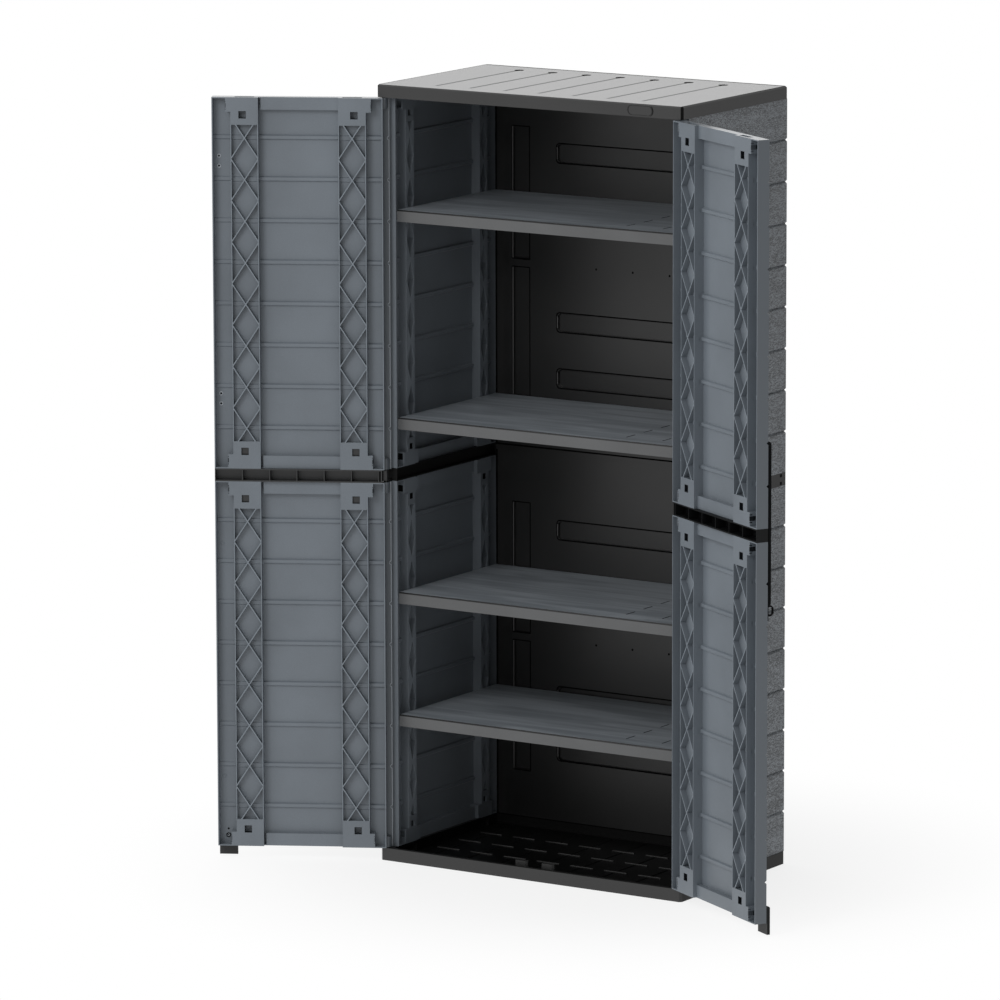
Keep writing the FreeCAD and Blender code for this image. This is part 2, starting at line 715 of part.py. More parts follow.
def wall_connector(label, side):
    """The bar between a side's two wall panels, with the hinge's tangs at its front end."""
    body = new_body(label)
    half = f"({WALL_WIDTH} / 2)"
    bar = top_sketch(body, "bar", "-band_height / 2")
    rectangle(bar, f"-{half}", half, "0", "wall_thickness")
    pad(body, bar, "band_height")
    recess = front_sketch(body, "recess", "wall_thickness")
    rectangle(recess, f"connector_wall - {half}", f"{half} - connector_wall",
              "connector_wall - band_height / 2", "band_height / 2 - connector_wall")
    pocket(body, recess, "band_recess", up=False)
    reach = f"({half} + wall_front - hinge_front)"
    axis = "(hinge_side - wall_inset)"
    outer = "(band_height / 2 - tang_clearance)"
    for level, name in ((-1, "low_tang"), (1, "high_tang")):
        arm = top_sketch(body, name, f"{level} * {outer}")
        chamfered_rectangle(arm, f"{half} - 2 * knuckle_radius", f"{reach} + knuckle_radius",
                            f"{axis} - knuckle_radius", f"{axis} + knuckle_radius", "knuckle_radius / 2")
        pad(body, arm, "tang_thickness", up=level < 0)
    bore = top_sketch(body, "bore", f"-{outer}")
    circle(bore, reach, axis, "pin_radius + pin_fit")
    pocket(body, bore, "band_height")
    places = [(centre, WALL_TONGUE_Y, False) for centre, _ in WALL.columns]
    tongues(body, "low_tongues", "-band_height / 2", False, places, "wall_tongue_width")
    tongues(body, "high_tongues", "band_height / 2", True, places, "wall_tongue_width")
    place_on_wall(body, side, BAND_MIDDLE)
    return body


def door_connector(label, side):
    """The bar between a door's two panels: six cells open to the inside and a knuckle on the hinge axis."""
    body = new_body(label)
    bar = top_sketch(body, "bar", "-band_height / 2")
    rectangle(bar, "connector_start", FREE_EDGE, "-door_face", DOOR_INNER)
    pad(body, bar, "band_height")
    cells = front_sketch(body, "cells", DOOR_INNER)
    slot_left = "(connector_start + connector_web)"
    first = f"({slot_left} + connector_slot + connector_slot_wall)"
    pitch = f"(({FREE_EDGE} - cell_divider / 2 - {first} + cell_divider / 2) / cell_count)"
    low, high = "connector_wall - band_height / 2", "band_height / 2 - connector_wall"
    for cell in range(int(SIZES["cell_count"])):
        left = f"({first} + {cell} * {pitch})"
        rectangle(cells, left, f"{left} + {pitch} - cell_divider", low, high)
    rectangle(cells, slot_left, f"{slot_left} + connector_slot", low, high)
    pocket(body, cells, "door_thickness - connector_skin", up=False)
    knuckle = top_sketch(body, "knuckle", "tang_thickness + 2 * tang_clearance - band_height / 2")
    chamfered_rectangle(knuckle, "-knuckle_radius", "connector_start + connector_web + knuckle_radius / 2",
                        "-knuckle_radius", "knuckle_radius", "knuckle_radius / 2")
    pad(body, knuckle, "band_height - 2 * tang_thickness - 4 * tang_clearance")
    bore = top_sketch(body, "bore", "-band_height / 2")
    circle(bore, "0", "0", "pin_radius + pin_running_fit")
    pocket(body, bore, "band_height")
    places = [(centre, DOOR_TONGUE_Y, False) for centre, _ in DOOR.columns]
    tongues(body, "low_tongues", "-band_height / 2", False, places, "door_tongue_width")
    tongues(body, "high_tongues", "band_height / 2", True, places, "door_tongue_width")
    place_on_door(body, side, BAND_MIDDLE, over=side > 0)
    return body


def hinge_pin(label, side):
    """The pin through the middle of one door's hinge; the studs of the base and the roof carry its ends."""
    pin = doc.addObject("Part::Cylinder", label)
    pin.Label = label
    bind(pin, Radius="pin_radius", Height="band_height + 2 * pin_engagement")
    place(pin, f"{side} * {HINGE_X}", HINGE_Y, f"{BAND_MIDDLE} - band_height / 2 - pin_engagement")
    return pin


# Back

def back_panel(label, low, high, middle):
    """A panel drawn about the middle of its recesses, of which one quarter is drawn and mirrored."""
    body = new_body(label)
    half = f"({WALL_FACE_X} - panel_clearance)"
    face = f"{HALF_DEPTH} - back_rim"
    outline = front_sketch(body, "outline", face)
    rectangle(outline, f"-{half}", half, f"{low} - {middle}", f"{high} - {middle}")
    pad(body, outline, "back_rim")
    tall = front_sketch(body, "tall_recess", face)
    side = f"({HALF_WIDTH} - tall_recess_left)"
    rectangle(tall, f"{side} - tall_recess_width", side, "(tall_recess_pitch - tall_recess_length) / 2",
              "(tall_recess_pitch + tall_recess_length) / 2")
    quarter = [pocket(body, tall, "recess_depth")]
    for row in (0, 1):
        wide = front_sketch(body, f"wide_recess_{row}", face)
        level = f"(wide_recess_first + {row} * wide_recess_pitch)"
        low, high = f"{level} - wide_recess_height / 2", f"{level} + wide_recess_height / 2"
        chamfered_rectangle(wide, "-wide_recess_length / 2", "wide_recess_length / 2", low, high,
                            "recess_corner")
        quarter.append(pocket(body, wide, "recess_depth"))
    mirrored = body.newObject("PartDesign::MultiTransform", f"{label}_mirrored")
    mirrored.Originals = quarter
    steps = []
    for role in ("XY_Plane", "YZ_Plane"):
        step = body.newObject("PartDesign::Mirrored", f"{label}_{role}")
        step.MirrorPlane = (origin_feature(body, role), [""])
        steps.append(step)
    mirrored.Transformations = steps
    body.Tip = mirrored
    place(body, level=middle)
    return body


# Shelves

def shelf(label, height):
    """A shelf with its top at zero, hollowed from below into bays that cross ribs divide."""
    body = new_body(label)
    half = f"({WALL_FACE_X} - panel_clearance)"
    front = f"(shelf_front - {HALF_DEPTH})"
    back = f"(shelf_back - {HALF_DEPTH})"
    profile = side_sketch(body, "profile", f"-{half}")
    polygon(profile, [(f"{front} + shelf_edge_chamfer", "0"), (front, "-shelf_edge_chamfer"),
                      (front, "-shelf_thickness"), (back, "-shelf_thickness"), (back, "0")])
    pad(body, profile, f"2 * {half}")
    hollow = top_sketch(body, "hollow", "-shelf_thickness")
    pitch = f"((2 * {half} - 2 * shelf_rim + shelf_rib) / shelf_bay_count)"
    left = f"(shelf_rim - {half})"
    rectangle(hollow, left, f"{left} + {pitch} - shelf_rib", f"{front} + shelf_rim", f"{back} - shelf_rim")
    cut = pocket(body, hollow, "shelf_thickness - shelf_skin")
    repeat(body, cut, "X", f"{pitch} * (shelf_bay_count - 1)", "shelf_bay_count")
    place(body, level=height)
    return body


def shelf_clips(label, height):
    """Four brackets on the wall columns that carry a shelf, drawn with the shelf's top at zero."""
    body = new_body(label)
    sketch = front_sketch(body, "brackets", f"{WALL_MIDDLE_Y} - wall_column_spacing / 2 - clip_length / 2")
    for side in (-1, 1):
        wall = f"{side} * {WALL_FACE_X}"
        tip = f"{side} * ({WALL_FACE_X} - clip_reach)"
        polygon(sketch, [(wall, "-shelf_thickness"), (tip, "-shelf_thickness"),
                         (tip, "-shelf_thickness - clip_lip"), (wall, "-shelf_thickness - clip_height")])
    arm = pad(body, sketch, "clip_length")
    repeat(body, arm, "Y", "wall_column_spacing", "2")
    place(body, level=height)
    return body


# Foot plates and handles

def foot_plate(label, side):
    """A plate on the outside of a door's lower corner; its lower part is stepped back to pass the base."""
    body = new_body(label)
    hand = -side
    sketch = side_sketch(body, "profile", f"{hand} * foot_inner")
    face = "-door_face"
    outside = f"({face} - foot_thickness)"
    step = "(base_rim_height + door_gap)"
    polygon(sketch, [(outside, "foot_low"), (outside, "foot_high - foot_chamfer"),
                     (f"{outside} + foot_chamfer", "foot_high"), (face, "foot_high"), (face, step),
                     (f"{face} - foot_step", step), (f"{face} - foot_step", "foot_low")])
    pad(body, sketch, f"{FREE_EDGE} - foot_inner", up=hand > 0)
    place_on_door(body, side, "0")
    return body


def handle(label, side):
    """A pull bar that stands off the door's edge, with a padlock eye below it."""
    body = new_body(label)
    hand = -side
    inner = f"({FREE_EDGE} - handle_edge_inset - handle_width)"
    sketch = side_sketch(body, "profile", f"{hand} * {inner}")
    face = "-door_face"
    grip = f"({face} - handle_gap)"
    outside = f"({grip} - handle_bar_thickness)"
    tail = f"({face} - tail_thickness)"
    polygon(sketch, [(face, "handle_low"), (face, "handle_grip_low"), (grip, "handle_grip_low"),
                     (grip, "handle_high - handle_top_foot"), (face, "handle_high - handle_top_foot"),
                     (face, "handle_high"), (f"{outside} + tail_thickness", "handle_high"),
                     (outside, "handle_high - tail_thickness"), (outside, "handle_shoulder"),
                     (tail, "eye_high"), (tail, "handle_low")])
    pad(body, sketch, "handle_width", up=hand > 0)
    ring = side_sketch(body, "eye", f"{hand} * ({inner} + (handle_width - eye_thickness) / 2)")
    eye = f"({face} - eye_reach)"
    polygon(ring, [(face, "eye_low"), (face, "eye_high"), (f"{eye} + eye_corner", "eye_high"),
                   (eye, "eye_high - eye_corner"), (eye, "eye_low + eye_corner"),
                   (f"{eye} + eye_corner", "eye_low")])
    hole = f"({face} - eye_hole_place)"
    middle = "((eye_high + eye_low) / 2)"
    low, high = f"{middle} - eye_hole_height / 2", f"{middle} + eye_hole_height / 2"
    chamfered_rectangle(ring, f"{hole} - eye_hole_width / 2", f"{hole} + eye_hole_width / 2", low, high,
                        "eye_hole_width / 4")
    pad(body, ring, "eye_thickness", up=hand > 0)
    place_on_door(body, side, "0")
    return body


def build():
    """Every sub-part of the cabinet, in the order in which it is put together."""
    wall = moulding("wall_moulding", WALL, WALL_HEIGHT)
    door = moulding("door_moulding", DOOR, DOOR_HEIGHT, "door_window_shift", bosses=(-1, 1))
    parts = [base_tray(), door_stops(), roof_cover()]
    for name, side in (("left", -1), ("right", 1)):
        parts.append(wall_panel(f"{name}_lower_wall", side, WALL_LOW_MIDDLE, wall))
        parts.append(wall_panel(f"{name}_upper_wall", side, WALL_HIGH_MIDDLE, wall))
        parts.append(wall_connector(f"{name}_wall_connector", side))
        parts.append(door_panel(f"{name}_lower_door_panel", side, DOOR_LOW_MIDDLE, door))
        parts.append(door_panel(f"{name}_upper_door_panel", side, DOOR_HIGH_MIDDLE, door))
        parts.append(door_connector(f"{name}_door_connector", side))
        parts.append(hinge_pin(f"{name}_hinge_pins", side))
        parts.append(foot_plate(f"{name}_foot_plate", side))
        parts.append(handle(f"{name}_handle", side))
    parts.append(back_panel("lower_back_panel", "base_rim_height", "back_joint", "lower_recess_middle"))
    parts.append(back_panel("upper_back_panel", "back_joint", ROOF_LOW, "upper_recess_middle"))
    for name in ("top", "upper", "lower", "bottom"):
        parts.append(shelf(f"{name}_shelf", f"{name}_shelf_height"))
        parts.append(shelf_clips(f"{name}_shelf_clips", f"{name}_shelf_height"))
    return parts


def check(parts):
    """Stops where an object failed, a shape isn't sound or a cut took nothing away."""
    for item in doc.Objects:
        if "Invalid" in item.State or "Error" in item.State:
            raise RuntimeError(f"{item.Name} failed: {item.State}")
        if item.TypeId == "PartDesign::Pocket" and item.Shape.Volume >= item.BaseFeature.Shape.Volume:
            raise RuntimeError(f"{item.Name} cuts nothing")
    for item in parts:
        if item.Shape.isNull() or not item.Shape.isValid():
            raise RuntimeError(f"{item.Label} has no sound shape")


parts = build()
doc.recompute()
check(parts)
os.makedirs("parts", exist_ok=True)
for part in parts:
    part.Shape.exportStep(f"parts/{part.Label}.step")
    print(part.Label, len(part.Shape.Solids), round(part.Shape.Volume / 1000, 1))
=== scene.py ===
from math import cos, pi, radians, sin

import bmesh
import bpy
from mathutils import Matrix, Vector


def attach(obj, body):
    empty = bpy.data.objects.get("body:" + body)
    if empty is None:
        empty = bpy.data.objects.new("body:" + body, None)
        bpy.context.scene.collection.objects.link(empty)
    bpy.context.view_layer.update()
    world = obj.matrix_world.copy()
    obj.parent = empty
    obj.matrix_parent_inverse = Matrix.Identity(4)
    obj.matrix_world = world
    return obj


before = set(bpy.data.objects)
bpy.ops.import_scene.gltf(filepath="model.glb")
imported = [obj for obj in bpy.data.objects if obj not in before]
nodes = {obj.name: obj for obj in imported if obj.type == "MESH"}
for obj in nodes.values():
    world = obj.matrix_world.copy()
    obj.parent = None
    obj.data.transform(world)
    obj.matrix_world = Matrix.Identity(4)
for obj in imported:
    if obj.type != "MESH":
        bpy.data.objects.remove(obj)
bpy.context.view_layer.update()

# A tall garden storage cabinet of moulded resin with two open doors. Metres; the origin is on the floor
# under the middle of the cabinet, +X to the right as seen from the front, +Y to the back and +Z up.

ACROSS, BACKWARD, UP = (1, 0, 0), (0, 1, 0), (0, 0, 1)
SIDES = {"left": -1, "right": 1}
ROWS = {"lower": 1, "upper": -1}  # with the way from each row of panels to the band between them

# Sizes that the source also holds

WIDTH, DEPTH, HEIGHT = 0.810, 0.460, 1.800
BAND = 0.900
RIM = 0.029
TRAY_FLOOR = 0.006
BACK_FACE = DEPTH / 2 - 0.010
SHELVES = (1.511, 1.032, 0.626, 0.339)
HINGE = Vector((WIDTH / 2 - 0.0126, 0.0109 - DEPTH / 2, 0))
OPEN = {"left": -radians(152.2), "right": radians(149.3)}
SKIN = 0.0055
PLATE_LENGTH = 0.063
GROOVE_PITCH, GROOVE_COUNT = 0.0955, 8
LEVELS = [(row - (GROOVE_COUNT - 1) / 2) * GROOVE_PITCH for row in range(GROOVE_COUNT)]

# A door, measured along it from the hinge axis and across it from outside to inside

DOOR_FACE, DOOR_INNER = -0.010, 0.0185
DOOR_SKIN = DOOR_FACE + SKIN
DOOR_HALF = 0.42725
DOOR_MIDDLES = {"lower": 0.45775, "upper": 1.34225}
DOOR_FRAME = (0.0014, 0.3916)
DOOR_FLANGE = 0.0024
DOOR_COLUMNS = ((0.0397, 0.1027), (0.2855, 0.3485))
DOOR_EARS = (0.0277, 0.3605)
LATTICE_FLOOR = DOOR_INNER - 0.014

# A side wall, measured along its depth from its middle and from outside to inside

WALL_FACE = WIDTH / 2 - 0.002
WALL_MIDDLE_Y = 0.0155
WALL_MIDDLES = {"lower": 0.457, "upper": 1.343}
WALL_HALF, WALL_INNER = 0.428, 0.028
WALL_STRIPS = ((-0.2105, -0.1705), (-0.1385, 0.1385), (0.1705, 0.2105))
WALL_COLUMNS = (-0.1545, 0.1545)

# The back panels' recesses, measured from the middle of a panel

BACK_JOINT = 0.913
BACK_MIDDLES = {"lower": 0.460, "upper": 1.3435}
TALL_RECESS = ((0.2814, 0.3270), (0.0105, 0.3185))
WIDE_RECESS = 0.205
WIDE_LEVELS = (-0.2630, -0.1315, 0.1315, 0.2630)
WIDE_HALF = 0.0215

# How far a raised piece sinks into its face, and how far an insert reaches into its face and out of it

SUNK = 0.0005
DEEP, PROUD = 0.001, 0.0002


# Where the walls and the open doors are

def about(middle, half):
    """The span that reaches as far to both sides of its middle."""
    return middle - half, middle + half


def hinge_foot(side):
    """The point of a door's hinge axis on the floor."""
    return Vector((HINGE.x * SIDES[side], HINGE.y, 0))


def door_outward(side):
    """The direction in which the outside of an open door faces."""
    return Vector((sin(OPEN[side]), -cos(OPEN[side]), 0))


def door_along(side):
    """The direction from the hinge of an open door to its free edge."""
    return Vector((-SIDES[side] * cos(OPEN[side]), -SIDES[side] * sin(OPEN[side]), 0))


def door_place(side):
    """Carries a door's own frame, its hinge axis at the origin, to where the door stands open."""
    hinge = Matrix.Translation(hinge_foot(side))
    return hinge @ Matrix.Rotation(OPEN[side], 4, "Z") @ Matrix.Diagonal((-SIDES[side], 1, 1, 1))


def wall_place(side):
    """Carries a wall's own frame, X to the back and Y from outside to inside, to its side."""
    way = SIDES[side]
    return Matrix(((0, -way, 0, way * WALL_FACE), (1, 0, 0, WALL_MIDDLE_Y), (0, 0, 1, 0), (0, 0, 0, 1)))


# Shader values and finishes

class Amount:
    """A value that varies over a surface or a sky; arithmetic on it adds Math nodes."""

    def __init__(self, nodes, socket):
        self.nodes = nodes
        self.socket = socket

    def math(self, operation, *terms):
        return self.nodes.add("Math", {"operation": operation}, dict(enumerate(terms)))

    def __add__(self, other):
        return self.math("ADD", self, other)

    def __sub__(self, other):
        return self.math("SUBTRACT", self, other)

    def __rsub__(self, other):
        return self.math("SUBTRACT", other, self)

    def __mul__(self, other):
        return self.math("MULTIPLY", self, other)

    def __gt__(self, other):
        return self.math("GREATER_THAN", self, other)

    def __lt__(self, other):
        return self.math("LESS_THAN", self, other)

    def __abs__(self):
        return self.math("ABSOLUTE", self)

    __radd__ = __add__


class Nodes:
    """A node tree, to which nodes and links are added."""

    def __init__(self, tree):
        self.tree = tree

    def join(self, value, socket):
        """Links a varying value to a socket, or sets the socket to a constant."""
        if isinstance(value, Amount):
            self.tree.links.new(value.socket, socket)
        elif isinstance(value, tuple) and len(value) == 3 and socket.type == "RGBA":
            socket.default_value = (*value, 1)
        else:
            socket.default_value = value

    def add(self, kind, settings=None, inputs=None, output=0):
        """Adds a node: first its settings, then the values or links of its sockets."""
        node = self.tree.nodes.new("ShaderNode" + kind)
        for name, value in (settings or {}).items():
            setattr(node, name, value)
        for name, value in (inputs or {}).items():
            self.join(value, node.inputs[name])
        return Amount(self, node.outputs[output])


class Finish(Nodes):
    """A material, with one method for each kind of pattern that the finishes share."""

    def __init__(self, name, roughness, metallic=0.0, specular=0.5):
        self.material = bpy.data.materials.new(name)
        self.material.use_nodes = True
        super().__init__(self.material.node_tree)
        self.shader = self.tree.nodes["Principled BSDF"]
        self.shader.inputs["Roughness"].default_value = roughness
        self.shader.inputs["Metallic"].default_value = metallic
        self.shader.inputs["Specular IOR Level"].default_value = specular
        self.shader.inputs["Coat Roughness"].default_value = 0.13
        coordinates = self.tree.nodes.new("ShaderNodeTexCoord")
        self.place, self.normal = (Amount(self, coordinates.outputs[name]) for name in ("Object", "Normal"))

    def stretched(self, scale, vector=None):
        return self.add("Mapping", inputs={"Vector": vector or self.place, "Scale": scale})

    def noise(self, scale, detail=2, vector=None, distortion=0):
        return self.add("TexNoise", inputs={"Vector": vector or self.place, "Scale": scale, "Detail": detail,
                                            "Distortion": distortion})

    def clouds(self):
        return self.noise(7, 4)

    def speckle(self):
        return self.noise(700, 2)

    def peel(self):
        return self.noise(900, 3)

    def span(self, value, low, high, to_low=0, to_high=1):
        """Value carried smoothly from one range to another and held inside it."""
        return self.add("MapRange", {"interpolation_type": "SMOOTHSTEP"},
                        {"Value": value, "From Min": low, "From Max": high,
                         "To Min": to_low, "To Max": to_high})

    def blend(self, share, first, second):
        return self.add("Mix", {"data_type": "RGBA"}, {"Factor": share, 6: first, 7: second}, output=2)

    def dot(self, vector, direction):
        return self.add("VectorMath", {"operation": "DOT_PRODUCT"}, {0: vector, 1: direction}, output=1)

    def toward(self, direction):
        """How far the surface faces in a direction, from -1 to 1."""
        return self.dot(self.normal, direction)

    def along(self, axis):
        return self.add("SeparateXYZ", inputs={"Vector": self.place}, output=axis)

    def cloudy(self, clouds, speckle, colour):
        """A colour that is a little darker and lighter in places."""
        return self.blend(self.span(clouds * 0.12 + speckle * 0.10, 0.06, 0.16),
                          scaled(colour, 0.88), scaled(colour, 1.12))

    def base(self):
        """The colour that the finish has so far."""
        return Amount(self, self.shader.inputs["Base Color"].links[0].from_socket)

    def colour(self, value):
        self.join(value, self.shader.inputs["Base Color"])

    def rough(self, value):
        self.join(value, self.shader.inputs["Roughness"])

    def coat(self, value):
        self.join(value, self.shader.inputs["Coat Weight"])

    def bump(self, height, distance):
        self.join(self.add("Bump", inputs={"Height": height, "Distance": distance, "Strength": 1.0}),
                  self.shader.inputs["Normal"])


def grey(level, warm=0):
    """The linear colour of an sRGB grey from 0 to 255, a little warmer or cooler by a few levels."""
    def linear(part):
        part = part / 255
        return part / 12.92 if part <= 0.04045 else ((part + 0.055) / 1.055) ** 2.4
    return tuple(linear(max(level + shift, 0)) for shift in (warm, 0, -warm))


def scaled(colour, share):
    """A colour made darker or lighter."""
    return tuple(part * share for part in colour)


def resin(name, colour, roughness=0.4, peel=0.00003, specular=0.5):
    """Moulded resin: cloudy colour, a fine speckle and a fine skin, like the peel of an orange."""
    finish = Finish(name, roughness, specular=specular)
    clouds = finish.clouds()
    speckle = finish.speckle()
    finish.colour(finish.cloudy(clouds, speckle, colour))
    finish.rough(roughness + (clouds - 0.5) * 0.14 + (speckle - 0.5) * 0.10)
    finish.bump(finish.peel(), peel)
    return finish


def grained(name, turn, inner, outer, direction, face, lattice, ends=None):
    """A panel's finish: smooth resin inside, stone-like grain that follows the planks outside.

    Face is how far the outside lies in its direction, and turn makes the planks level with an axis. Lattice
    gives a direction along the panel, the middle between its two columns, half their distance, half the
    width of a column, the height of the panels' middles above and below the band and half the lattice's
    height; the ribs' tops there are painted lighter, a painted highlight. Ends, where the panel has them, are
    the edges of its lip and of its free side, which are painted darker as shade.
    """
    grain_start = face - SKIN * 0.95
    ribs_start = grain_start - 0.021
    rib_highlight_share, lip_shade_share, edge_shade_share = 1.3, 0.6, 0.7
    finish = Finish(name, 0.5)
    depth, outward = finish.dot(finish.place, direction), finish.toward(direction)
    outside = (depth > grain_start) * (outward > 0.2)
    level = finish.add("VectorRotate", {"rotation_type": "Z_AXIS"}, {"Vector": finish.place, "Angle": turn})
    flakes = finish.noise(1, 3, finish.stretched((105, 105, 430), level), 0.9)
    chips = finish.noise(1, 2, finish.stretched((230, 230, 600), level), 0.4)
    bands = finish.noise(1, 3, finish.stretched((9, 9, 60), level))
    stone = flakes * 0.50 + chips * 0.38 + bands * 0.12
    grain = finish.blend(finish.span(stone, 0.41, 0.59), scaled(outer, 0.30), scaled(outer, 1.75))
    place = finish.dot(finish.place, lattice["along"])
    column = abs(abs(place - lattice["middle"]) - lattice["spacing"]) < lattice["half"]
    middle_part = abs(abs(finish.along(2) - BAND) - lattice["rise"]) < lattice["height"]
    ribs = column * middle_part * ((depth < ribs_start) * (outward < -0.9))
    speckle = finish.speckle()
    smooth = finish.cloudy(finish.clouds(), speckle, inner)
    # Painted highlight: the tops of the ribs in the columns are made lighter.
    smooth = finish.blend(ribs, smooth, scaled(inner, rib_highlight_share))
    if ends:
        lip, free_edge = ends
        # Painted shade: the lip and the edge of the free side are made darker.
        smooth = finish.blend(place < lip, smooth, scaled(inner, lip_shade_share))
        edge = (place > free_edge) * (finish.toward(lattice["along"]) > 0.9)
        smooth = finish.blend(edge, smooth, scaled(inner, edge_shade_share))
    finish.colour(finish.blend(outside, smooth, grain))
    finish.rough(0.42 + outside * 0.16 + (speckle - 0.5) * 0.1)
    finish.coat((finish.toward(UP) > 0.9) * (1 - outside) * 0.8)
    finish.bump(outside * stone * 16 + finish.peel() * 0.5, 0.00010)
    return finish


# Camera, sky, light and floor

CAMERA_PLACE = (8.5995, -13.7756, 3.7538)
CAMERA_YAW, CAMERA_PITCH, CAMERA_ROLL = radians(32.637), radians(-10.149), radians(-0.1403)
SOFTBOX_PLACE, SOFTBOX_TARGET = Vector((-0.5, -4.6, 3.9)), Vector((0, 0, 0.9))


def aim(yaw, pitch, roll):
    """The turn of a camera from its heading to the left of +Y, its tilt above level and its roll."""
    ahead = Vector((-sin(yaw) * cos(pitch), cos(yaw) * cos(pitch), sin(pitch)))
    right = Vector((cos(yaw), sin(yaw), 0))
    above = right.cross(ahead)
    right, above = right * cos(roll) + above * sin(roll), above * cos(roll) - right * sin(roll)
    return Matrix((right, above, -ahead)).transposed()


scene = bpy.context.scene
scene.view_settings.view_transform = "Standard"

camera_data = bpy.data.cameras.new("camera")
camera_data.sensor_width = 36
camera_data.lens = 259.93
camera_data.clip_end = 100
camera = bpy.data.objects.new("camera", camera_data)
camera.matrix_world = Matrix.Translation(CAMERA_PLACE) @ aim(CAMERA_YAW, CAMERA_PITCH, CAMERA_ROLL).to_4x4()
scene.collection.objects.link(camera)
scene.camera = camera

# The sky is white where it is seen, also in a reflection, and lights the cabinet more from the left

world = bpy.data.worlds.new("studio")
world.use_nodes = True
scene.world = world
sky = Nodes(world.node_tree)
seen, mirrored, passed = (sky.add("LightPath", output=f"Is {kind} Ray")
                          for kind in ("Camera", "Glossy", "Transmission"))
direct = seen.math("MAXIMUM", seen, mirrored.math("MAXIMUM", mirrored, passed))
heading = sky.add("TexCoord", output="Generated")
sideways = sky.add("SeparateXYZ", inputs={"Vector": heading}, output="X")
dimmed = sideways.math("MULTIPLY_ADD", sideways, -0.44, 0.77)
background = world.node_tree.nodes["Background"]
sky.join(sky.add("MapRange", inputs={"Value": direct, "To Min": dimmed, "To Max": 1}),
         background.inputs["Strength"])
sky.join((1, 1, 1), background.inputs["Color"])

softbox_data = bpy.data.lights.new("softbox", "AREA")
softbox_data.shape = "DISK"
softbox_data.size = 2.2
softbox_data.energy = 88
softbox = bpy.data.objects.new("softbox", softbox_data)
softbox.location = SOFTBOX_PLACE
softbox.rotation_euler = (SOFTBOX_TARGET - SOFTBOX_PLACE).to_track_quat("-Z", "Y").to_euler()
scene.collection.objects.link(softbox)

# The floor is white paper that turns from a lit surface into a plain white one away from the cabinet

mesh = bpy.data.meshes.new("floor")
shape = bmesh.new()
bmesh.ops.create_circle(shape, cap_ends=True, segments=96, radius=2.6)
shape.to_mesh(mesh)
shape.free()
floor = bpy.data.objects.new("floor", mesh)
scene.collection.objects.link(floor)

paper = Finish("floor_paper", 0.9, specular=0.1)
distance = paper.add("VectorMath", {"operation": "LENGTH"}, {0: paper.place}, output=1)
paper.colour(paper.blend(paper.noise(900, 2), (0.80, 0.80, 0.80), (0.84, 0.84, 0.84)))
white = paper.add("Emission", inputs={"Color": (1, 1, 1), "Strength": 1.0})
lit = Amount(paper, paper.shader.outputs[0])
clear = paper.add("MixShader", inputs={0: paper.span(distance, 0.4, 1.2, 0.80, 1), 1: lit, 2: white})
paper.join(clear, paper.tree.nodes["Material Output"].inputs["Surface"])
floor.data.materials.append(paper.material)


# Finishes of the cabinet

def roof_finish():
    """The roof's resin: glossy on top in a dull border, less glossy in front, dull at sides and corners;
    painted shade makes the sides and the top's border darker and the corners nearly black.
    """
    side_border, back_border = 0.006, 0.012
    finish = resin("roof_resin", grey(34), 0.36, specular=0.22)
    up = finish.toward(UP) > 0.9
    inside = (abs(finish.along(0)) < WIDTH / 2 - side_border) * (finish.along(1) < DEPTH / 2 - back_border)
    border = up * (1 - inside)
    sideways = abs(finish.toward(ACROSS)) > 0.5
    across, backward = (abs(finish.toward(axis)) > 0.12 for axis in (ACROSS, BACKWARD))
    corner = across * backward * (1 - up)
    # Painted shade: the sides and the top's border are made darker, and the corners nearly black.
    tone = finish.blend(sideways + border, finish.base(), grey(24))
    finish.colour(finish.blend(corner, tone, grey(4)))
    finish.coat((1 - up) * (1 - sideways) * (1 - corner) * 0.6 + up * inside * 0.67)
    finish.rough(0.36 + (border + corner) * 0.6 + (finish.speckle() - 0.5) * 0.1)
    return finish


def tray_finish():
    """The base's resin: nearly black on the outside of the rim, with painted shade on its outer sides and
    more inside the tray, darkest at the front of the floor and a little less at the back.
    """
    side_rim, front_rim = 0.0295, 0.0112
    finish = resin("tray_resin", grey(34), 0.36, specular=0.12)
    inside = (abs(finish.along(0)) < WIDTH / 2 - side_rim) * (finish.along(1) > front_rim - DEPTH / 2)
    # Painted shade: the outer sides are made darker, and the inside of the tray darker still, most at the
    # front of its floor.
    sideways = abs(finish.toward(ACROSS)) > 0.5
    outer = finish.blend(sideways, finish.base(), grey(16))
    tray_floor = finish.blend(finish.span(finish.along(1), -0.1, 0.2), grey(7), grey(17))
    back = finish.along(1) > BACK_FACE - 0.001
    finish.colour(finish.blend(inside, outer, finish.blend(back, tray_floor, grey(23))))
    finish.coat((finish.toward((0, -1, 0)) > 0.5) * (1 - inside) * 0.86)
    return finish


def back_finish():
    """The back panels' resin, painted lighter towards the right as painted light, and painted dark beside the
    walls as painted shade.
    """
    finish = resin("back_resin", grey(25), 0.34)
    clouds = finish.clouds()
    # Painted light towards the right, and painted shade beside the walls.
    painted_light_share = finish.span(finish.along(0) + (clouds - 0.5) * 0.1, -0.15, 0.35)
    beside = finish.span(abs(finish.along(0)), 0.335, 0.372)
    finish.colour(finish.blend(beside, finish.blend(painted_light_share, grey(23), grey(48)), grey(4)))
    finish.rough(0.34 + beside * 0.3 + (clouds - 0.5) * 0.14)
    return finish


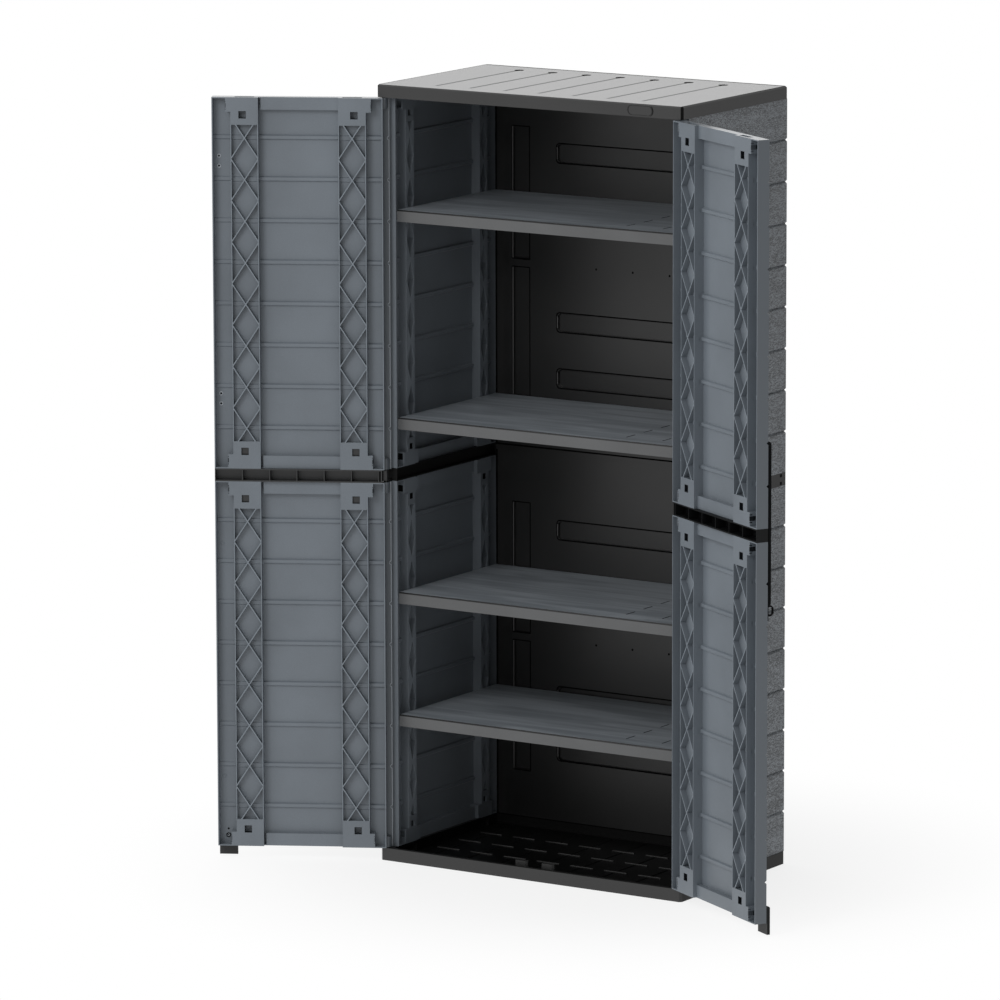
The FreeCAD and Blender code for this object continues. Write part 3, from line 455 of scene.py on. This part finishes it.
def shaded_connector_finish():
    """The right door connector's resin, a copy of the connector's in painted shade: nearly black, with its
    outside painted lighter.
    """
    finish = resin("shaded_connector_resin", grey(9, -1), 0.5, specular=0.15)
    outside = finish.toward(door_outward("right")) > 0.5
    finish.colour(finish.blend(outside, finish.base(), grey(50, -1)))
    return finish


def foot_finish():
    """The foot plates' resin, with painted shade on the edge that faces away from the right door's hinge."""
    finish = resin("foot_plate_resin", grey(50), 0.42, specular=0.18)
    # Painted shade on the edge that faces away from the hinge.
    edge = finish.toward(door_along("right")) > 0.95
    finish.colour(finish.blend(edge, finish.base(), grey(10)))
    return finish


def shelf_finish():
    """The shelves' resin: a top with faint waves along its length, painted lighter than the rest as painted
    light, and a bevel in front painted dark as shade.
    """
    finish = resin("shelf_resin", grey(80, -1), 0.36)
    waves = finish.noise(1, 3, finish.stretched((3, 34, 34)), 0.9)
    top = finish.toward(UP) > 0.5
    bevel = finish.toward((0, -0.707, 0.707)) > 0.9
    # The top's waves, painted lighter than the rest as painted light; the bevel is painted shade.
    waves_and_painted_light = finish.blend(finish.span(waves, 0.35, 0.65), grey(122, -6), grey(147, -6))
    finish.colour(finish.blend(bevel, finish.blend(top, finish.base(), waves_and_painted_light), grey(24)))
    finish.bump(top * waves * 12 + finish.peel() * 0.5, 0.00006)
    return finish


def pin_finish():
    """Plated steel with fine marks along the pin."""
    finish = Finish("pin_steel", 0.35, metallic=1)
    finish.colour(finish.blend(finish.noise(60, 3), grey(150), grey(190)))
    marks = finish.noise(1, 3, finish.stretched((900, 900, 12)))
    finish.rough(finish.span(marks, 0.3, 0.7, 0.25, 0.5))
    return finish


def wall_finish(side):
    """The finish of a side wall's two panels."""
    lattice = {"along": BACKWARD, "middle": WALL_MIDDLE_Y, "spacing": WALL_COLUMNS[1], "half": 0.0162,
               "rise": WALL_MIDDLES["upper"] - BAND, "height": WALL_HALF - PLATE_LENGTH}
    return grained(side + "_wall_resin", 0, grey(107, -6), grey(91, -4), (SIDES[side], 0, 0), WALL_FACE,
                   lattice)


def door_finish(side):
    """The finish of a door's two panels, turned to where the door stands open."""
    way, along, hinge = door_outward(side), door_along(side), hinge_foot(side)
    start = hinge.dot(along)
    near, far = (sum(column) / 2 for column in DOOR_COLUMNS)
    lattice = {"along": along, "middle": start + (near + far) / 2, "spacing": (far - near) / 2,
               "half": 0.0317, "rise": DOOR_MIDDLES["upper"] - BAND, "height": DOOR_HALF - PLATE_LENGTH}
    ends = (start + DOOR_FRAME[0] - 0.0002, start + DOOR_FRAME[1] - 0.0006)
    return grained(side + "_door_resin", -OPEN[side], grey(107, -7), grey(92, -4), way,
                   hinge.dot(way) - DOOR_FACE, lattice, ends)


finishes = {
    "roof": roof_finish(),
    "tray": tray_finish(),
    "back": back_finish(),
    "shelf": shelf_finish(),
    "connector": resin("connector_resin", grey(30, -1), 0.36),
    # The connector resin in painted shade, for the right door.
    "dark_connector": shaded_connector_finish(),
    "wall_connector": resin("wall_connector_resin", grey(15), 0.45, specular=0.2),
    "handle": resin("handle_resin", grey(10, -1), 0.6, specular=0.05),
    "foot": foot_finish(),
    "stop": resin("stop_resin", grey(44), 0.4),
    "clip": resin("clip_resin", grey(30), 0.4),
    # Lighter than the tray's resin: a painted highlight on the floor's bars.
    "tread": resin("tread_highlight_resin", grey(46), 0.3),
    "boss": resin("boss_resin", grey(168, -6), 0.4),
    "bead": resin("bead_resin", grey(140, -6), 0.4),
    # Painted highlight on the rounded left edges of the back's recesses.
    "edge": resin("recess_edge_highlight_resin", grey(62), 0.3),
    # Painted shade, dark and paler, for slots, notches and the walls of windows.
    "slot": resin("slot_shade_resin", grey(25, -3), 0.5, specular=0.15),
    "notch": resin("notch_shade_resin", grey(66, -5), 0.45, specular=0.3),
    # Near black, the painted shade of holes, slots, gaps and seams.
    "hole": resin("hole_shade_resin", grey(7), 0.8, specular=0.02),
    "steel": pin_finish(),
}
for side in SIDES:
    finishes[side + "_wall"] = wall_finish(side)
    finishes[side + "_door"] = door_finish(side)

# The finish of each node of the frame, by the end of its name; the first end that fits counts

FINISH_OF = {"base": "tray", "roof": "roof", "door_stops": "stop", "back_panel": "back", "shelf": "shelf",
             "shelf_clips": "clip", "wall_connector": "wall_connector",
             "right_door_connector": "dark_connector", "door_connector": "connector", "pins": "steel",
             "handle": "handle", "foot_plate": "foot", "_wall": "SIDE_wall", "door_panel": "SIDE_door"}

for label, node in nodes.items():
    key = next(key for ending, key in FINISH_OF.items() if label.endswith(ending))
    node.data.materials.clear()
    node.data.materials.append(finishes[key.replace("SIDE", label.split("_")[0])].material)


# Shapes of the pieces that the frame leaves to this script

def facing(point, turn=0.0):
    """A place at a point whose Z axis points along +Y, or -Y after half a turn about the upright."""
    return Matrix.Translation(point) @ Matrix.Rotation(turn, 4, "Z") @ Matrix.Rotation(-pi / 2, 4, "X")


def block(shape, *spans, bevel=0):
    """A block over three spans, along X, Y and Z, with a bevel of that width on its edges."""
    low, high = (Vector([pick(span) for span in spans]) for pick in (min, max))
    place = Matrix.Translation((low + high) / 2) @ Matrix.Diagonal((*(high - low), 1))
    corners = bmesh.ops.create_cube(shape, size=1, matrix=place)["verts"]
    if bevel:
        edges = list({line for corner in corners for line in corner.link_edges})
        bmesh.ops.bevel(shape, geom=edges, offset=bevel, segments=2, profile=0.5, affect="EDGES", material=-1)


def ridge(shape, span, level, face, rise, flat):
    """A level bar along a span that narrows from its foot in a face to a flat top."""
    base = 0.0126
    for corner in bmesh.ops.create_cube(shape, size=2)["verts"]:
        crest = corner.co.y > 0
        corner.co = Vector((span[corner.co.x > 0], face + rise if crest else face - SUNK,
                            level + corner.co.z * (flat if crest else base) / 2))


def ring(shape, place, radius, section, sweep=2 * pi, start=0.0):
    """A round wire bent about place's Z axis, all the way round or part of it."""
    sides = 8
    profile = (place @ Matrix.Rotation(start, 4, "Z") @ Matrix.Translation((radius, 0, 0))
               @ Matrix.Rotation(pi / 2, 4, "X"))
    wire = bmesh.ops.create_circle(shape, segments=sides, radius=section / 2, matrix=profile)["verts"]
    lines = list({line for point in wire for line in point.link_edges})
    whole = sweep > 2 * pi - 0.01
    bmesh.ops.spin(shape, geom=wire + lines, cent=place.translation, axis=place.col[2].xyz, angle=sweep,
                   steps=20, use_merge=whole)
    if not whole:
        bmesh.ops.holes_fill(shape, edges=[line for line in shape.edges if line.is_boundary], sides=sides)


def disc(shape, place, radius, height, taper=1.0):
    """A low round plug that stands on place's XY plane."""
    bmesh.ops.create_cone(shape, cap_ends=True, segments=24, radius1=radius, radius2=radius * taper,
                          depth=height, matrix=place @ Matrix.Translation((0, 0, height / 2)))


def rim(shape, across, upright, corner, width, front, depth):
    """A flat frame with rounded corners and a width inwards, from the plane y = front to a depth behind."""
    before = set(shape.faces)
    corners = bmesh.ops.create_grid(shape, x_segments=1, y_segments=1, size=1,
                                    matrix=Matrix.Rotation(pi / 2, 4, "X"))["verts"]
    for point in corners:
        point.co = Vector((across[point.co.x > 0], front, upright[point.co.z > 0]))
    bmesh.ops.bevel(shape, geom=corners, offset=corner, segments=4, profile=0.5, affect="VERTICES",
                    material=-1)
    face = next(face for face in shape.faces if face not in before)
    border = bmesh.ops.inset_region(shape, faces=[face], thickness=width, use_boundary=True)["faces"]
    bmesh.ops.delete(shape, geom=[face], context="FACES")
    raised = bmesh.ops.extrude_face_region(shape, geom=border, use_keep_orig=True)["geom"]
    moved = [item for item in raised if isinstance(item, bmesh.types.BMVert)]
    bmesh.ops.translate(shape, vec=(0, depth, 0), verts=moved)


def keep(name, shape, finish, body="cabinet", carried=Matrix()):
    """Carries a finished shape to its place, closes it and makes it a piece of a body."""
    bmesh.ops.transform(shape, matrix=carried, verts=shape.verts)
    bmesh.ops.remove_doubles(shape, verts=shape.verts, dist=0.000001)
    bmesh.ops.recalc_face_normals(shape, faces=shape.faces)
    mesh = bpy.data.meshes.new(name)
    shape.to_mesh(mesh)
    shape.free()
    mesh.shade_smooth()
    mesh.set_sharp_from_angle(angle=radians(35))
    mesh.materials.append(finishes[finish].material)
    item = bpy.data.objects.new(name, mesh)
    scene.collection.objects.link(item)
    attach(item, body)


def keep_on_door(side, name, shape, finish):
    """Makes a shape in a door's own frame a piece of that door."""
    keep(f"{side}_{name}", shape, finish, side + "_door", door_place(side))


def keep_on_wall(side, name, shape, finish):
    """Makes a shape in a wall's own frame a piece of the cabinet."""
    keep(f"{side}_{name}", shape, finish, carried=wall_place(side))


# Pieces on the doors

RIDGE_RISE, RIDGE_FLAT = 0.0048, 0.0072


def door_ridges(side, row):
    """The flat-topped ridges behind the grooves: across the three recesses and on the lattice's floor."""
    far_rise, far_gap, lattice_rise, lattice_flat = 0.0024, 0.0005, 0.0014, 0.0090
    shape = bmesh.new()
    (near_low, near_high), (far_low, far_high) = DOOR_COLUMNS
    strips = (((DOOR_FRAME[0] + DOOR_FLANGE, near_low), RIDGE_RISE),
              ((near_high, far_low), RIDGE_RISE),
              ((far_high, DOOR_FRAME[1] - DOOR_FLANGE - far_gap), far_rise))
    for level in LEVELS:
        for strip, rise in strips:
            ridge(shape, strip, DOOR_MIDDLES[row] + level, DOOR_SKIN, rise, RIDGE_FLAT)
        for column in DOOR_COLUMNS:
            ridge(shape, column, DOOR_MIDDLES[row] + level, LATTICE_FLOOR, lattice_rise, lattice_flat)
    keep_on_door(side, row + "_door_ridges", shape, side + "_door")


def ear_slots(side, row):
    """The slot in the edge of each ear of a door's end plates, with a small notch above and below it.

    They are blocks of painted shade: those next to the band are dark and the others paler.
    """
    ear_from_end, cut, stand_out = 0.019, 0.0016, 0.0003
    slot_half, slot_depth = 0.005, 0.0120
    notch_rise, notch_half, notch_depth, notch_start = 0.0085, 0.0012, 0.0060, 0.0005
    top = DOOR_INNER + PROUD
    for end, way in (("low", -1), ("high", 1)):
        shape = bmesh.new()
        level = DOOR_MIDDLES[row] + way * (DOOR_HALF - ear_from_end)
        for edge, turn in zip(DOOR_EARS, (-1, 1)):
            near, far = sorted((edge - turn * cut, edge + turn * stand_out))
            block(shape, (near, far), (DOOR_INNER - slot_depth, top), about(level, slot_half))
            for rise in (-notch_rise, notch_rise):
                block(shape, (near + notch_start, far), (DOOR_INNER - notch_depth, top),
                      about(level + rise, notch_half))
        finish = "slot" if way == ROWS[row] else "notch"
        keep_on_door(side, f"{row}_ear_slots_{end}", shape, finish)


def door_windows(side, row):
    """Dark strips of painted shade on the four walls of the windows in a door's end plates."""
    half, thin, aside, window_from_end = 0.0086, 0.0007, 0.0045, 0.040
    depth = (0.0075, DOOR_INNER - 0.0005)
    shape = bmesh.new()
    for column, way in zip(DOOR_COLUMNS, (-1, 1)):
        middle = sum(column) / 2 + way * aside
        for end in (-1, 1):
            level = DOOR_MIDDLES[row] + end * (DOOR_HALF - window_from_end)
            for turn in (-1, 1):
                outer, inner = turn * half, turn * (half - thin)
                block(shape, (middle + outer, middle + inner), depth, about(level, half))
                block(shape, about(middle, half - thin), depth, (level + outer, level + inner))
    keep_on_door(side, row + "_window_linings", shape, "slot")


def lip_clips(side, row):
    """A bead along the hinge lip that turns aside in a small open clip at every groove."""
    bead, bead_half, bead_bevel = -0.0108, 0.0009, 0.0003
    bead_depth = (DOOR_SKIN - 0.0002, DOOR_SKIN + 0.0018)
    clip_radius, clip_rise, clip_wire = 0.0040, 0.0012, 0.0022
    shape = bmesh.new()
    middle = DOOR_MIDDLES[row]
    ends = [middle - DOOR_HALF] + [middle + level for level in LEVELS] + [middle + DOOR_HALF]
    for low, high in zip(ends, ends[1:]):
        low += clip_radius if low > ends[0] else 0
        high -= clip_radius if high < ends[-1] else 0
        block(shape, about(bead, bead_half), bead_depth, (low, high), bevel=bead_bevel)
    for level in LEVELS:
        ring(shape, facing((bead, DOOR_SKIN + clip_rise, middle + level)), clip_radius, clip_wire,
             radians(180), radians(-90))
    keep_on_door(side, row + "_lip_clips", shape, "bead")


def connector_slot(side):
    """Painted shade: a dark block in the slot beside the knuckle of a door's connector, and a dark line where
    the knuckle begins.
    """
    slot, slot_half, slot_depth = (0.0098, 0.0138), 0.0121, (0.0120, DOOR_INNER + 0.0001)
    line, line_half, line_depth = (0.0055, 0.0069), 0.0105, (0.0050, 0.0120)
    shape = bmesh.new()
    block(shape, slot, slot_depth, about(BAND, slot_half))
    block(shape, line, line_depth, about(BAND, line_half))
    keep_on_door(side, "connector_slot", shape, "hole")


def door_bosses(side):
    """Screw bosses near the free edge: bright rings, faint ones, and the foot plate's hole with its peg."""
    boss_along, boss_levels, faint_levels = 0.3780, (1.6328, 1.6099, 1.085, 1.062), (0.7367, 0.1902)
    foot_along, foot_level, upper_hole_level = 0.3700, 0.051, 0.066
    # Each ring's radius and wire, and each hole's radius and height
    boss_ring, faint_ring = (0.0036, 0.0020), (0.0042, 0.0014)
    foot_ring, peg_ring = (0.0062, 0.0016), (0.0022, 0.0014)
    boss_hole, foot_hole, upper_hole = (0.0022, 0.0003), (0.0058, 0.0004), (0.0024, 0.0003)
    bright, faint, holes = bmesh.new(), bmesh.new(), bmesh.new()
    for level in boss_levels:
        place = facing((boss_along, DOOR_SKIN, level))
        ring(bright, place, *boss_ring)
        disc(holes, place, *boss_hole)
    for level in faint_levels:
        ring(faint, facing((boss_along, DOOR_SKIN, level)), *faint_ring)
    foot = facing((foot_along, DOOR_SKIN, foot_level))
    ring(faint, foot, *foot_ring)
    ring(bright, foot, *peg_ring)
    disc(holes, foot, *foot_hole)
    disc(holes, facing((foot_along, DOOR_SKIN, upper_hole_level)), *upper_hole)
    keep_on_door(side, "door_bosses", bright, "boss")
    keep_on_door(side, "door_faint_bosses", faint, side + "_door")
    # The holes are dark discs of painted shade.
    keep_on_door(side, "door_boss_holes", holes, "hole")


def screws(side, name, along, levels, face):
    """Pan-head screws on the outside of a door, with a dark cross of painted shade on each head where its
    recess is.
    """
    radius, height, taper = 0.0040, 0.0014, 0.8
    bar_level, bar_length, bar_width, bar_height = 0.00145, 0.0040, 0.0009, 0.0003
    bar = Matrix.Translation((0, 0, bar_level)) @ Matrix.Diagonal((bar_length, bar_width, bar_height, 1))
    heads, recesses = bmesh.new(), bmesh.new()
    for level in levels:
        place = facing((along, face, level), pi)
        disc(heads, place, radius, height, taper)
        for turn in (radians(45), radians(135)):
            bmesh.ops.create_cube(recesses, size=1, matrix=place @ Matrix.Rotation(turn, 4, "Z") @ bar)
    keep_on_door(side, name + "_screws", heads, "steel")
    keep_on_door(side, name + "_screw_recesses", recesses, "hole")


# Pieces on the walls, the back, the floor and the roof

def wall_ridges(side, row):
    """The flat-topped ridges behind the grooves of a wall."""
    shape = bmesh.new()
    for level in LEVELS:
        for strip in WALL_STRIPS:
            ridge(shape, strip, WALL_MIDDLES[row] + level, SKIN, RIDGE_RISE, RIDGE_FLAT)
    keep_on_wall(side, row + "_wall_ridges", shape, side + "_wall")


def wall_holes(side, row):
    """Painted shade: dark blocks at the bottoms of a wall's plate windows and of the front ear's square hole,
    next to the band.
    """
    window_half, window_from_end = 0.0069, 0.043
    window_depth = (WALL_INNER - 0.0040, WALL_INNER - 0.0012)
    hole_half, hole_from_end, hole_depth = 0.0074, 0.022, (0.0095, 0.0242)
    ear_edge = WALL_COLUMNS[0] - 0.030
    hole_along = (ear_edge + 0.0008, ear_edge + 0.0040)
    shape = bmesh.new()
    window, hole = (WALL_MIDDLES[row] + ROWS[row] * (WALL_HALF - from_end)
                    for from_end in (window_from_end, hole_from_end))
    for column in WALL_COLUMNS:
        block(shape, about(column, window_half), window_depth, about(window, window_half))
    block(shape, hole_along, hole_depth, about(hole, hole_half))
    keep_on_wall(side, row + "_wall_holes", shape, "hole")


def back_seams(row):
    """A fine dark line of painted shade round every recess of a back panel, and the rounded edge of its left
    side, painted lighter as a highlight.
    """
    wide_corner, wide_line = 0.008, 0.0030
    tall_corner, tall_line = 0.0008, 0.0024
    edge_radius, edge_depth = 0.0018, 0.0012
    line_front, line_depth = BACK_FACE - 0.0003, 0.0004
    lines, edges = bmesh.new(), bmesh.new()
    middle = BACK_MIDDLES[row]
    (near, far), (low, high) = TALL_RECESS
    recesses = [(about(0, WIDE_RECESS), about(level, WIDE_HALF), wide_corner, wide_line)
                for level in WIDE_LEVELS]
    recesses += [(across, upright, tall_corner, tall_line) for across in ((near, far), (-far, -near))
                 for upright in ((low, high), (-high, -low))]
    for (left, right), (bottom, top), corner, line in recesses:
        bottom, top = bottom + middle, top + middle
        rim(lines, (left - line, right + line), (bottom - line, top + line), corner + line / 2, line,
            line_front, line_depth)
        place = Matrix.Translation((left, BACK_FACE + edge_depth, (bottom + top) / 2))
        bmesh.ops.create_cone(edges, cap_ends=True, segments=12, radius1=edge_radius, radius2=edge_radius,
                              depth=top - bottom - 2 * corner, matrix=place)
    keep(row + "_recess_lines", lines, "hole")
    keep(row + "_recess_edges", edges, "edge")


def back_shade_strips():
    """Dark strips of painted shade in the gaps between the base and the lower back panel and between the
    panels, and beside the walls.
    """
    half, strip_start, base_gap_half, joint_gap_half = 0.3745, 0.3700, 0.0012, 0.0018
    strips = ((RIM, BACK_JOINT - 0.014), (BACK_JOINT + 0.002, HEIGHT - 0.030))
    front, behind = BACK_FACE - PROUD, BACK_FACE + DEEP
    shape = bmesh.new()
    block(shape, (-half, half), (front, behind), about(RIM, base_gap_half))
    block(shape, (-half, half), (front, BACK_FACE + PROUD), about(BACK_JOINT, joint_gap_half))
    for way in SIDES.values():
        for upright in strips:
            block(shape, (way * strip_start, way * half), (front, behind), upright)
    keep("back_shade_strips", shape, "hole")


def treads():
    """Three rows of low bars across the floor, one over each groove, lighter than the tray's resin as a
    painted highlight.
    """
    columns, rows, pitch, first_row = 8, 3, 0.091, 0.155
    half_length, half_width, rise, bevel = 0.030, 0.002, 0.002, 0.0005
    shape = bmesh.new()
    for column in range(columns):
        for row in range(rows):
            across, along = (column - (columns - 1) / 2) * pitch, first_row + row * pitch - DEPTH / 2
            block(shape, about(across, half_length), about(along, half_width),
                  (TRAY_FLOOR - DEEP, TRAY_FLOOR + rise), bevel=bevel)
    keep("floor_treads", shape, "tread")


def blank_oval():
    """The blank plate on the roof's front rim, with a fine groove round its face."""
    across, level, half_length, half_height, stand_out = 0.296, HEIGHT - RIM / 2, 0.033, 0.0125, 0.0012
    end_radius = 0.0122
    # From the edge of the face inwards: how wide each step is, and how far it rises or falls
    steps = ((0.0004, 0.0002), (0.0010, 0), (0.0004, -0.0009), (0.0006, 0), (0.0004, 0.0009))
    shape = bmesh.new()
    block(shape, about(across, half_length), (-DEPTH / 2 - stand_out, -DEPTH / 2 + DEEP),
          about(level, half_height))
    ends = [line for line in shape.edges if abs((line.verts[0].co - line.verts[1].co).y) > 0.001]
    bmesh.ops.bevel(shape, geom=ends, offset=end_radius, segments=8, profile=0.5, affect="EDGES", material=-1)
    face = min(shape.faces, key=lambda side: side.calc_center_median().y)
    for thickness, depth in steps:
        bmesh.ops.inset_region(shape, faces=[face], thickness=thickness, depth=depth)
    keep("roof_blank_oval", shape, "roof")


def openings_in_faces():
    """Peg holes in the back, slits in the shelves and locking holes in the wall connectors, all dark pieces
    of painted shade.
    """
    peg_columns, peg_radius = (-0.099, 0, 0.099), 0.0026
    slits, first_slit, slit_pitch = ((0.209, 0), (0.209, 1), (0.209, 2), (0.304, 0)), 0.102, 0.075
    slit_half_width, slit_half_length = 0.0015, 0.0185
    lock_along, lock_rise, lock_half_length, lock_half_height = 0.2095, 0.009, 0.004, 0.0035
    shape = bmesh.new()
    for level in BACK_MIDDLES.values():
        for across in peg_columns:
            disc(shape, facing((across, BACK_FACE, level), pi), peg_radius, PROUD)
    for level in SHELVES:
        for across, row in slits:
            along = first_slit + row * slit_pitch - DEPTH / 2
            block(shape, about(across, slit_half_width), about(along, slit_half_length),
                  (level - DEEP, level + PROUD))
    for way in SIDES.values():
        for rise in (-lock_rise, lock_rise):
            block(shape, (way * (WALL_FACE - DEEP), way * (WALL_FACE + PROUD)),
                  about(lock_along, lock_half_length), about(BAND + rise, lock_half_height))
    keep("holes_and_slits", shape, "hole")


treads()
blank_oval()
openings_in_faces()
back_shade_strips()
for row in ROWS:
    back_seams(row)
for side in SIDES:
    for row in ROWS:
        wall_ridges(side, row)
        wall_holes(side, row)
        door_ridges(side, row)
        ear_slots(side, row)
        door_windows(side, row)
        lip_clips(side, row)
    connector_slot(side)
    door_bosses(side)
    screws(side, "foot_plate", 0.3715, (0.051, 0.020), DOOR_FACE - 0.009)
    screws(side, "handle", 0.382, (1.097, 0.712), DOOR_FACE - 0.004)
